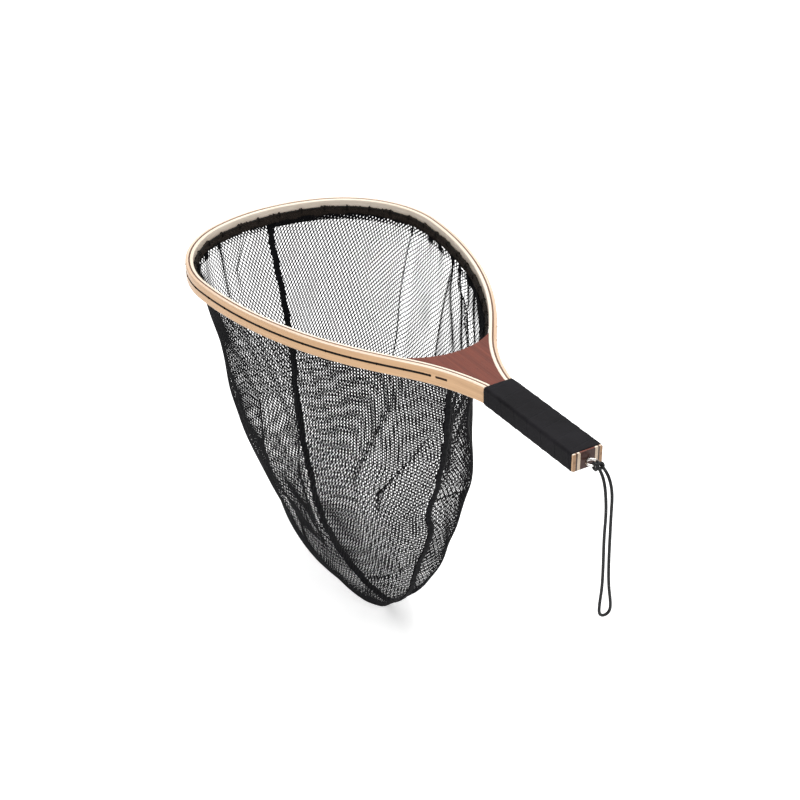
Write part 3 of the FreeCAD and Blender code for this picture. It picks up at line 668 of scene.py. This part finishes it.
def rounded_rectangle(half_width, half_height, radius, count):
    """Evenly spaced points round a rounded rectangle, with the outward normal at each."""
    points = []
    normals = []
    for quarter in range(4):
        sign_y = 1 if quarter in (0, 3) else -1
        sign_z = 1 if quarter in (0, 1) else -1
        centre = np.array((sign_y * (half_width - radius), sign_z * (half_height - radius)))
        for angle in np.radians(90 * quarter + np.linspace(0, 90, 12)):
            out = np.array((math.cos(angle), math.sin(angle)))
            points.append(centre + out * radius)
            normals.append(out)
    points.append(points[0])
    normals.append(normals[0])
    points = np.array(points)
    normals = np.array(normals)
    run = run_along(points)
    at = np.linspace(0, run[-1], count, endpoint=False)
    place = resample(at, run, points)
    out = resample(at, run, normals)
    return place, out / np.linalg.norm(out, axis=1)[:, None], at, run[-1]


def make_grip():
    """Tape wound in an open spiral, each turn lapping the one before it."""
    low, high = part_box("grip_wrap")
    half_width = high.y - WRAP_STEP * 0.6
    half_height = high.z - WRAP_STEP * 0.6
    place, out, at, around = rounded_rectangle(half_width, half_height, WRAP_ROUND, 120)
    profile = np.array(((0.0, 0.0), (0.10, 0.05), (0.86, 0.55), (0.95, 1.0), (0.985, 0.85), (1.0, 0.0)))
    per_turn = np.concatenate((np.linspace(0.0, 0.84, 16), np.linspace(0.86, 0.999, 14)))
    turns = int((high.x - low.x) / WRAP_PITCH) + 4
    phases = np.concatenate([per_turn + n for n in range(turns)]) - 2
    shift = at / around
    x = low.x + (phases[:, None] + shift[None, :]) * WRAP_PITCH
    rise = np.interp(phases % 1.0, profile[:, 0], profile[:, 1]) * WRAP_STEP
    ends = np.minimum(x - low.x, high.x - x)
    tuck = np.clip(np.minimum((x - low.x) / 0.0025, (high.x - x) / 0.0007), 0.0, 1.0) ** 0.5
    lift = np.where(ends > 0, rise[:, None] - (1 - tuck) * 0.0009, -0.0009)
    wobble = 0.00012 * np.sin(x * 420 + at[None, :] * 300)
    x = np.clip(x, low.x, high.x)
    yz = place[None, :, :] + out[None, :, :] * (lift + wobble)[:, :, None]
    verts = np.dstack((x, yz)).reshape(-1, 3)
    faces = grid_faces(len(phases), len(at), False, True)
    spread = np.ptp(verts[faces][:, :, 0], axis=1)
    faces = faces[spread > 1e-6]
    grip = add_mesh("grip_tape_winding", verts, faces[:, ::-1], grip_rubber())
    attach(grip, "frame")
    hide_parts("grip_wrap")


# ---------------- lacing and hem
CORD_INSET = 0.00095
CORD_RADIUS = 0.0011
HEM_OUT = STRIP_EDGES[2] + 0.0004
HEM_IN = STRIP_EDGES[2] + 0.0030
HEM_LOW = -0.0088
HEM_TOP = 0.0022
# Round the hem's section: share of its height, and 0 on the outer face to 1 on the inner one.
HEM_SECTION = ((0.0, 0), (0.25, 0), (0.5, 0), (0.75, 0), (0.95, 0), (1.0, 0.5), (0.95, 1), (0.86, 1),
               (0.74, 1), (0.6, 1), (0.46, 1), (0.32, 1), (0.18, 1), (0.06, 1), (0.0, 0.6))


def tie_bump(distance, width):
    return np.exp(-(distance / width) ** 2)


def make_lacing(thread):
    """Cord in the outside groove, pulled in at each tie, and the twine of the ties."""
    last = HOLE_PITCH * (HOLES_PER_SIDE - 0.5) - 0.001
    stations = np.linspace(-last, last, 1500)
    holes = np.array(hole_stations())
    away = np.abs(stations[:, None] - holes[None, :]).min(axis=1)
    inset = CORD_INSET + 0.0005 * tie_bump(away, 0.003)
    wander = np.sin(stations * 2 * math.pi / HOLE_PITCH * 0.5)
    height = LACE_Z + 0.00022 * wander * (1 - tie_bump(away, 0.006))
    points = [(*hoop.point(station, depth), z) for station, depth, z in zip(stations, inset, height)]
    cord = tube("groove_lacing_cord", points, CORD_RADIUS * (1 - 0.12 * tie_bump(away, 0.002)),
                braid("lacing_braid", rgb(0.003, 0.0025, 0.0025), rgb(0.014, 0.012, 0.010), 0.0016, 0.6))
    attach(cord, "frame")
    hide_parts("groove_cord")
    rope_line, _ = mouth_line(ROPE_INSET)
    ties = []
    for number, station in enumerate(holes):
        start = hoop.point(station, 0.0)
        ray = hoop.inward(station)
        reach = (rope_line - start) @ ray
        aside = np.abs((rope_line - start) @ np.array((-ray[1], ray[0])))
        rope = reach[(aside < 0.0015) & (reach > 0)].min()
        profile = ((-0.0004, 0.6), (0.0004, 2.0), (0.0022, 1.25), (0.003, 1.1), (rope - 0.0022, 1.1),
                   (rope - 0.0012, 2.6), (rope + 0.0002, 3.6), (rope + 0.0018, 2.7), (rope + 0.0026, 0.4),
                   (rope + 0.0016, -1.9), (rope - 0.0004, -2.3), (rope - 0.0018, -0.9),
                   (rope - 0.0026, 0.1), (0.003, 0.1), (0.0022, -0.05), (0.0004, -0.8))
        line = []
        for depth, z in profile:
            spot = start + ray * depth
            line.append((spot[0], spot[1], z * MM))
        line = np.array(line)
        for _ in range(2):
            after = np.roll(line, -1, axis=0)
            line = np.stack((line * 0.75 + after * 0.25, line * 0.25 + after * 0.75), 1).reshape(-1, 3)
        ties.append(tube(f"tie_{number}", line, 0.00052, thread, closed=True, sides=8, up=(*ray, 0.0)))
    made = join("lacing_ties", ties)
    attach(made, "frame")
    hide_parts("net_ties")


def make_hem(cloth):
    """Head rope sleeve: the net's gathered edge, ruffled, drawn up to the rope at every tie."""
    outer, run = mouth_line(HEM_OUT, 0.0006)
    span = run[-1] + run[1]
    ahead = tangents(outer, True)
    inward = np.column_stack((ahead[:, 1], -ahead[:, 0]))
    middle = np.array((-0.33, 0.0))
    if ((middle - outer[0]) @ inward[0]) < 0:
        inward = -inward
    rope_line = outer + inward * 0.0014
    holes = [hoop.point(station, ROPE_INSET) for station in hole_stations()]
    away = np.min([np.linalg.norm(rope_line - hole, axis=1) for hole in holes], axis=0)
    hump = tie_bump(away, 0.0042)
    turn = run / span * 2 * math.pi
    ruffle = np.zeros(len(run))
    for wave, size in ((163, 0.30), (241, 0.30), (97, 0.20), (419, 0.34)):
        ruffle += size * np.sin(wave * turn + rng.uniform(0, 6.28) + 1.6 * np.sin(3 * turn + wave))
    slack = np.zeros(len(run))
    for wave, size in ((31, 0.5), (19, 0.35), (53, 0.25)):
        slack += size * np.sin(wave * turn + rng.uniform(0, 6.28))
    width = HEM_IN - HEM_OUT
    top = HEM_TOP + 0.0005 * hump + 0.0011 * ruffle + 0.0013 * slack - 0.0006
    low = HEM_LOW + 0.0009 * slack + 0.0012 * ruffle
    sections = []
    for share, side in HEM_SECTION:
        z = low + (top - low) * share
        depth = np.full(len(run), width * side)
        if side == 1:
            belly = 0.0004 * math.sin(math.pi * share) - 0.0006 * tie_bump(share - 0.80, 0.07)
            depth = depth + belly + 0.00062 * ruffle * (0.45 + 0.55 * (1 - share))
            depth = depth - 0.0005 * hump * (share < 0.85)
            depth = depth + 0.0004 * slack * (1 - share)
        slant = 0.0016 * (1 - share) * np.sin(2.3 * turn)
        base = outer + inward * depth[:, None] + ahead * slant[:, None]
        sections.append(np.column_stack((base, z)))
    verts = np.stack(sections, 1).reshape(-1, 3)
    faces = grid_faces(len(run), len(sections), True, True)
    hem = add_mesh("gathered_hem", verts, faces, cloth)
    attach(hem, "frame")
    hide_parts("hem_band")
    inner, _ = mouth_line(ROPE_INSET, 0.002)
    rope = tube("head_rope_cord", np.column_stack((inner, np.full(len(inner), LACE_Z))), 0.00125,
                braid("head_rope_braid", rgb(0.003, 0.0025, 0.0025), rgb(0.014, 0.012, 0.010), 0.002, 0.6),
                closed=True)
    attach(rope, "frame")
    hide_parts("head_rope")


# ---------------- net bag
NET_COLUMN = 0.00217
NET_ROW = 0.0063
NET_TURN = math.radians(9.0)
NET_CONTACT = 0.0008
THREAD_WIDE = 0.00060
THREAD_THICK = 0.00038
GATHER_FROM = 0.03
TOE_KEEP = 0.93
THROAT_KEEP = 0.80
GATHER_DEPTH = 0.12
WALL_DIVISION = 0.42
HEM_NET_START = 0.0006
HEM_NET_END = 0.0072
HEM_NET_NEST = 0.0022
# Folds of the slack net: side (1 is +Y), toe-to-throat share and depth (m) at both ends, height and
# half width (mm), and how far the net is drawn in to the fold's line, as a share of that half width.
FOLDS = (
    (1, 0.35, 0.00, 0.30, 0.15, -5, 5, 0.8),
    (1, 0.55, 0.00, 0.65, 0.05, -5, 5, 0.8),
    (1, 0.50, 0.02, 0.45, 0.12, 4, 8, 0.4),
    (1, 0.85, 0.20, 0.65, 0.27, 4, 5, 0.7),
    (-1, 0.05, 0.00, 0.10, 0.04, 3, 5, 0.4),
    (-1, 0.15, 0.00, 0.15, 0.06, -3, 8, 0.4),
    (-1, 0.25, 0.02, 0.40, 0.30, -3, 10, 0.2),
    (-1, 0.50, 0.10, 0.45, 0.22, 3, 9, 0.4),
    (-1, 0.65, 0.02, 0.60, 0.27, 3, 9, 0.4),
    (-1, 0.90, 0.02, 0.80, 0.14, 4, 9, 0.4),
    (-1, 1.00, 0.08, 0.85, 0.16, -6, 7, 0.8),
    (-1, 1.00, 0.28, 0.80, 0.32, -4, 5, 0.6),
    (-1, 0.60, 0.32, 0.80, 0.37, 4, 40, 0.0),
)
# The +Y side hangs in below the throat and bellies out lower down, past the symmetric bag: depth,
# reach up and down from there, and lift (mm) of each swell.
SLACK_SHARE = 0.87
SLACK_REACH = 0.060
SWELLS = ((0.10, 0.10, -20), (0.30, 0.05, 5))


def slack_lift(depth):
    """How far the +Y side stands out from the symmetric bag at each depth."""
    lift = np.zeros(len(depth))
    for middle, reach, height in SWELLS:
        lift += height * MM * np.cos(np.clip((depth - middle) / reach, -1, 1) * math.pi / 2) ** 2
    return lift


class Bag:
    """The bag's surface: rows of points down the wall, with lengths along and round it."""

    COLUMNS = 81

    def __init__(self):
        loop, _ = mouth_line(STRIP_EDGES[2], 0.0008)
        half = loop[loop[:, 1] >= -1e-9]
        run = run_along(half)
        at = np.linspace(0, run[-1], 161)
        half = resample(at, run, half)
        self.share = (half[:, 0] - half[0, 0]) / (half[-1, 0] - half[0, 0])
        self.across = np.clip(half[:, 1], 0, None) / half[:, 1].max()
        heights = np.concatenate((np.arange(-6.0, -330.0, -3.0), np.arange(-330.0, -374.01, -1.0)))
        rows = [self.section(z) for z in heights]
        self.z = heights * MM
        self.points = np.array([row for row, _ in rows])
        self.half_length = np.array([length for _, length in rows])
        mid = self.points[:, self.COLUMNS // 2]
        self.depth = run_along(mid)
        self.split = float(np.interp(-SPLIT_Z, -self.z, self.depth))
        self.top = float(np.interp(HEM_NET_END, -self.z, self.depth))

    def section(self, z):
        columns = [smooth_between(BAG_LEVELS[:, 0], BAG_LEVELS[:, i], z) for i in range(1, 5)]
        toe, throat, half_width, fullness = columns
        x = (toe + self.share * (throat - toe)) * MM
        y = half_width * self.across ** fullness * MM
        line = np.column_stack((x, y))
        run = run_along(line)
        at = np.linspace(0, run[-1], self.COLUMNS)
        row = np.column_stack((resample(at, run, line), np.full(self.COLUMNS, z * MM)))
        return row, run[-1]

    def length_at(self, depth):
        return np.interp(depth, self.depth, self.half_length)

    def sample(self, share, depth):
        """Points of the +Y half at a share of the row (0 toe, 1 throat) and a depth down the wall."""
        row = np.interp(depth, self.depth, np.arange(len(self.depth)))
        column = np.clip(share, 0, 1) * (self.COLUMNS - 1)
        r0 = np.clip(row.astype(int), 0, len(self.depth) - 2)
        c0 = np.clip(column.astype(int), 0, self.COLUMNS - 2)
        fr = (row - r0)[:, None]
        fc = (column - c0)[:, None]
        p = self.points
        return ((p[r0, c0] * (1 - fc) + p[r0, c0 + 1] * fc) * (1 - fr)
                + (p[r0 + 1, c0] * (1 - fc) + p[r0 + 1, c0 + 1] * fc) * fr)

    def normals(self, share, depth):
        """Outward unit normals of the +Y half."""
        step_share = self.sample(share + 0.01, depth) - self.sample(share - 0.01, depth)
        step_depth = self.sample(share, depth + 0.002) - self.sample(share, depth - 0.002)
        out = np.cross(step_share, step_depth)
        size = np.linalg.norm(out, axis=1)[:, None]
        return out / np.maximum(size, 1e-9)

    def place(self, side, share, depth):
        """Points and outward normals on one side of the seam, with the slack net's folds."""
        length = np.maximum(self.length_at(depth), 1e-4)
        lift = np.zeros(len(share))
        shift = np.zeros(len(share))
        for fold_side, s0, d0, s1, d1, height, width, pull in FOLDS:
            if fold_side != side:
                continue
            t = np.clip((depth - d0) / (d1 - d0), 0, 1)
            away = (share - (s0 + (s1 - s0) * t)) * length / (width * MM)
            fade = np.clip(np.minimum(depth - d0 + 0.02, d1 + 0.04 - depth) / 0.04, 0, 1)
            lift += height * MM * fade * np.exp(-np.abs(away) ** 1.4)
            shift -= pull * width * MM * fade * away * np.exp(-away ** 2 / 1.6)
        if side > 0:
            away = (share - SLACK_SHARE) * length / SLACK_REACH
            lift += slack_lift(depth) * np.exp(-away ** 2)
        share = np.clip(share + shift / length * np.clip(np.minimum(share, 1 - share) * 8, 0, 1), 0, 1)
        points = self.sample(share, depth)
        out = self.normals(share, depth)
        pleat = np.clip(1 - (depth - self.top) / 0.04, 0, 1) ** 1.5
        along = share * self.length_at(depth)
        lift += pleat * 0.0011 * np.sin(along * 2 * math.pi / HOLE_PITCH + 0.6 * side)
        slack = np.clip((share - 0.42) / 0.12, 0, 1) * np.clip(1 - (depth - 0.05) / 0.10, 0, 1)
        wave = np.sin(along * 2 * math.pi / 0.027 + 9 * depth + np.sin(along * 40))
        lift += (0.0012 if side > 0 else 0.0005) * slack * wave
        lift += 0.0009 * np.sin(along * 95 + depth * 30 + side) * np.sin(depth * 70 + 2 * side)
        edge = np.clip(np.minimum(share, 1 - share) * self.length_at(depth) / 0.012, 0, 1)
        lift *= edge
        points = points + out * lift[:, None]
        if side < 0:
            points = points * (1, -1, 1)
            out = out * (1, -1, 1)
        points[:, 1] += seam_sway(points[:, 2]) * np.exp(-((1 - share) * length / 0.035) ** 2)
        return points, out


def seam_sway(z):
    """How far the throat seam wanders off the middle plane, by height."""
    return (-0.0050 * np.exp(-((z + 0.197) / 0.016) ** 2) + 0.0022 * np.exp(-((z + 0.232) / 0.018) ** 2)
            + 0.0018 * np.exp(-((z + 0.120) / 0.035) ** 2))


def smooth_between(heights, values, z):
    """Monotone cubic through the levels, so that the bag has no ridges."""
    h = -heights
    at = -z
    i = int(np.clip(np.searchsorted(h, at) - 1, 0, len(h) - 2))
    slopes = np.diff(values) / np.diff(h)

    def tangent(k):
        if k == 0 or k == len(h) - 1:
            return slopes[min(k, len(slopes) - 1)]
        a, b = slopes[k - 1], slopes[k]
        return 0.0 if a * b <= 0 else 2 * a * b / (a + b)

    span = h[i + 1] - h[i]
    t = (at - h[i]) / span
    m0, m1 = tangent(i) * span, tangent(i + 1) * span
    return ((2 * t ** 3 - 3 * t ** 2 + 1) * values[i] + (t ** 3 - 2 * t ** 2 + t) * m0
            + (-2 * t ** 3 + 3 * t ** 2) * values[i + 1] + (t ** 3 - t ** 2) * m1)


def strand_lines(bag, side, low, high, shift=0.0):
    """Zigzag strands of one side between two depths, as arrays of (share, depth)."""
    widest = bag.half_length.max() / 2 / THROAT_KEEP + high * math.sin(NET_TURN)
    reach = (NET_COLUMN - NET_CONTACT) / 2
    count = int(widest / NET_COLUMN) + 2
    phase_steps = np.array((-0.06, 0.06, 0.44, 0.56))
    signs = np.array((1, 1, -1, -1))
    lines = []
    for i in range(-count, count + 1):
        rows = np.arange(-20, 90)
        down = (rows[:, None] + phase_steps[None, :]).ravel() * NET_ROW
        out = (i + shift) * NET_COLUMN + np.tile(signs, len(rows)) * (reach if i % 2 else -reach)
        u = out * math.cos(NET_TURN) - down * side * math.sin(NET_TURN)
        v = down * math.cos(NET_TURN) + out * side * math.sin(NET_TURN)
        throat_keep = THROAT_KEEP + (1 - THROAT_KEEP) * np.clip(v / GATHER_DEPTH, 0, 1)
        away = np.maximum(np.abs(u) - GATHER_FROM, 0)
        u = u - np.sign(u) * away * (1 - np.where(u > 0, throat_keep, TOE_KEEP))
        keep = (v > low) & (v < high)
        if keep.sum() < 2:
            continue
        inside_v = v[keep]
        depth = np.concatenate(([low], inside_v, [high]))
        across = np.concatenate(([np.interp(low, v, u)], u[keep], [np.interp(high, v, u)]))
        share = 0.5 + across / np.maximum(bag.length_at(depth), 1e-4)
        lines.append((share, depth))
    return lines


def make_netting(name, bag, side, low, high, thread, body, shift=0.0):
    """Real netting: flattened strands that zigzag down the panel and touch their neighbours."""
    starts, ends, shares, depths = [], [], [], []
    index = 0
    for share, depth in strand_lines(bag, side, low, high, shift):
        inside = (share > 0) & (share < 1)
        used = inside | np.append(inside[1:], False) | np.insert(inside[:-1], 0, False)
        for k in range(len(share) - 1):
            if used[k] and used[k + 1] and (inside[k] or inside[k + 1]):
                starts.append(index + k)
                ends.append(index + k + 1)
        shares.append(np.clip(share, 0, 1))
        depths.append(depth)
        index += len(share)
    share = np.concatenate(shares)
    depth = np.concatenate(depths)
    points, out = bag.place(side, share, depth)
    points = points - out * abs(shift) * HEM_NET_NEST
    ahead = np.zeros_like(points)
    starts = np.array(starts)
    ends = np.array(ends)
    step = points[ends] - points[starts]
    np.add.at(ahead, starts, step)
    np.add.at(ahead, ends, step)
    size = np.linalg.norm(ahead, axis=1)[:, None]
    ahead = np.where(size > 1e-9, ahead / np.maximum(size, 1e-9), (0, 0, -1))
    across = np.cross(out, ahead)
    across /= np.maximum(np.linalg.norm(across, axis=1)[:, None], 1e-9)
    ring = np.stack((points + across * THREAD_WIDE, points + out * THREAD_THICK,
                     points - across * THREAD_WIDE, points - out * THREAD_THICK), 1)
    verts = ring.reshape(-1, 3)
    faces = []
    for k in range(4):
        n = (k + 1) % 4
        faces.append(np.column_stack((starts * 4 + k, starts * 4 + n, ends * 4 + n, ends * 4 + k)))
    faces = np.vstack(faces)
    used_verts = np.unique(faces)
    remap = np.zeros(len(verts), int)
    remap[used_verts] = np.arange(len(used_verts))
    panel = add_mesh(name, verts[used_verts], remap[faces], thread)
    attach(panel, body)
    return panel


TAPE_HALF = 0.0038
TAPE_THICK = 0.0014
# Round the tape's section: across it in half widths, and out from the net in thicknesses.
TAPE_SECTION = ((-1.0, 0.15), (-0.93, 0.62), (-0.62, 0.92), (0.0, 1.0), (0.62, 0.92), (0.93, 0.62),
                (1.0, 0.15), (0.9, -0.15), (0.0, -0.2), (-0.9, -0.15))


def seam_tape(name, bag, ends, material, body, follow=0.0):
    """Ribbed tape over the seam: a flat closed strip near the plane y = 0, which follows the seam's
    sway as far as it is told to."""
    points = np.vstack([bag.sample(np.full(len(d), share), d) for share, d in ends])
    points[:, 1] = 0.0
    points = points[np.concatenate(([True], np.linalg.norm(np.diff(points, axis=0), axis=1) > 1e-5))]
    run = run_along(points)
    at = np.linspace(0, run[-1], int(run[-1] / 0.0015))
    points = resample(at, run, points)
    for _ in range(6):
        points[1:-1] = points[1:-1] * 0.5 + (points[:-2] + points[2:]) * 0.25
    ahead = tangents(points, False)
    out = np.column_stack((ahead[:, 2], np.zeros(len(at)), -ahead[:, 0]))
    sway = 0.0005 * np.sin(at * 190) + 0.0004 * np.sin(at * 83 + 1)
    frayed = (1 + 0.09 * np.sin(at * 610 + 2 * np.sin(at * 97))
              + 0.06 * np.sin(at * 1130 + 3 * np.sin(at * 53)))
    sections = []
    for across, lift in TAPE_SECTION:
        spot = points + out * (lift * TAPE_THICK * frayed[::-1] + 0.0002)[:, None]
        spot[:, 1] = across * TAPE_HALF * frayed + sway + follow * seam_sway(points[:, 2])
        sections.append(spot)
    verts = np.stack(sections, 1).reshape(-1, 3)
    count = len(TAPE_SECTION)
    faces = grid_faces(len(at), count, False, True)
    across = np.array([share for share, _ in TAPE_SECTION]) * TAPE_HALF
    place = np.column_stack((np.repeat(at, count), np.tile(across, len(at))))
    uvs = place[faces]
    tape = add_mesh(name, verts, faces, material, uvs)
    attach(tape, body)
    return tape


def squash_up(piece):
    """Gives the piece its own copy of its mesh."""
    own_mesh(piece)


def make_bag(thread):
    bag = Bag()
    bottom_end = bag.depth[-1]
    tape = tape_cloth()
    for side, hand in ((-1, "left"), (1, "right")):
        middle = bag.top + (bag.split - bag.top) * WALL_DIVISION
        for name, low, high in (("upper", bag.top, middle), ("lower", middle, bag.split)):
            wall = make_netting(f"{hand}_netting_{name}", bag, side, low, high, thread, "frame")
            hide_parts(f"{hand}_net_panel")
            squash_up(wall)
        for fold, shift in (("outer", 0.37), ("inner", 0.73)):
            hem = make_netting(f"{hand}_hem_netting_{fold}", bag, side, HEM_NET_START, HEM_NET_END, thread,
                               "frame", shift)
            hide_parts("hem_band")
        bottom = make_netting(f"{hand}_netting_bottom", bag, side, bag.split, bottom_end, thread,
                              "bag_bottom")
        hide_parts(f"{hand}_net_bottom")
    down = np.linspace(bag.top, bag.split, 260)
    toe = seam_tape("toe_binding_tape", bag, [(0.0, down)], tape, "frame")
    throat = seam_tape("throat_binding_tape", bag, [(1.0, down[::-1])], tape, "frame", follow=1.0)
    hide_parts("toe_seam_tape")
    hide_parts("throat_seam_tape")
    squash_up(toe)
    squash_up(throat)
    under = np.linspace(bag.split, bottom_end, 120)
    low = seam_tape("bottom_binding_tape", bag, [(0.0, under), (1.0, under[::-1])], tape, "bag_bottom")
    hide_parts("bottom_seam_tape")


# ---------------- floor and light
def make_studio():
    mesh = bpy.data.meshes.new("floor")
    corners = ((-1, -1), (1, -1), (1, 1), (-1, 1))
    mesh.from_pydata([(x * FLOOR_HALF, y * FLOOR_HALF, FLOOR_Z) for x, y in corners], [], [(0, 1, 2, 3)])
    s = Shader("floor_paper")
    grain = s.noise(s.position(), 40.0, 3.0, 0.6)
    colour = s.mix(s.level(grain, 0.3, 0.7), rgb(0.90, 0.90, 0.90), rgb(0.93, 0.93, 0.93))
    mesh.materials.append(s.surface(Base_Color=colour, Roughness=0.9, Specular_IOR_Level=0.1,
                                    Emission_Color=rgb(1.0, 1.0, 1.0), Emission_Strength=0.45))
    floor = add_object("floor", mesh)
    world = bpy.data.worlds.new("studio")
    world.use_nodes = True
    background = world.node_tree.nodes["Background"]
    background.inputs["Color"].default_value = rgb(1.0, 1.0, 1.0)
    background.inputs["Strength"].default_value = 0.50
    bpy.context.scene.world = world
    for name, place, size, power in LAMPS:
        data = bpy.data.lights.new(name, "AREA")
        data.size = size
        data.energy = power
        lamp = add_object(name, data)
        lamp.location = place
        aim_along(lamp, Vector(LAMP_TARGET) - lamp.location)
    bpy.context.scene.view_settings.view_transform = "Standard"


make_camera()
make_lanyard()
dress_frame()
make_grip()
net_thread = twine("net_thread", rgb(0.003, 0.003, 0.0036), rgb(0.009, 0.009, 0.011))
lacing_twine = twine("lacing_twine", rgb(0.003, 0.0025, 0.0025), rgb(0.015, 0.013, 0.0115))
make_lacing(lacing_twine)
make_hem(hem_cloth())
make_bag(net_thread)
make_studio()
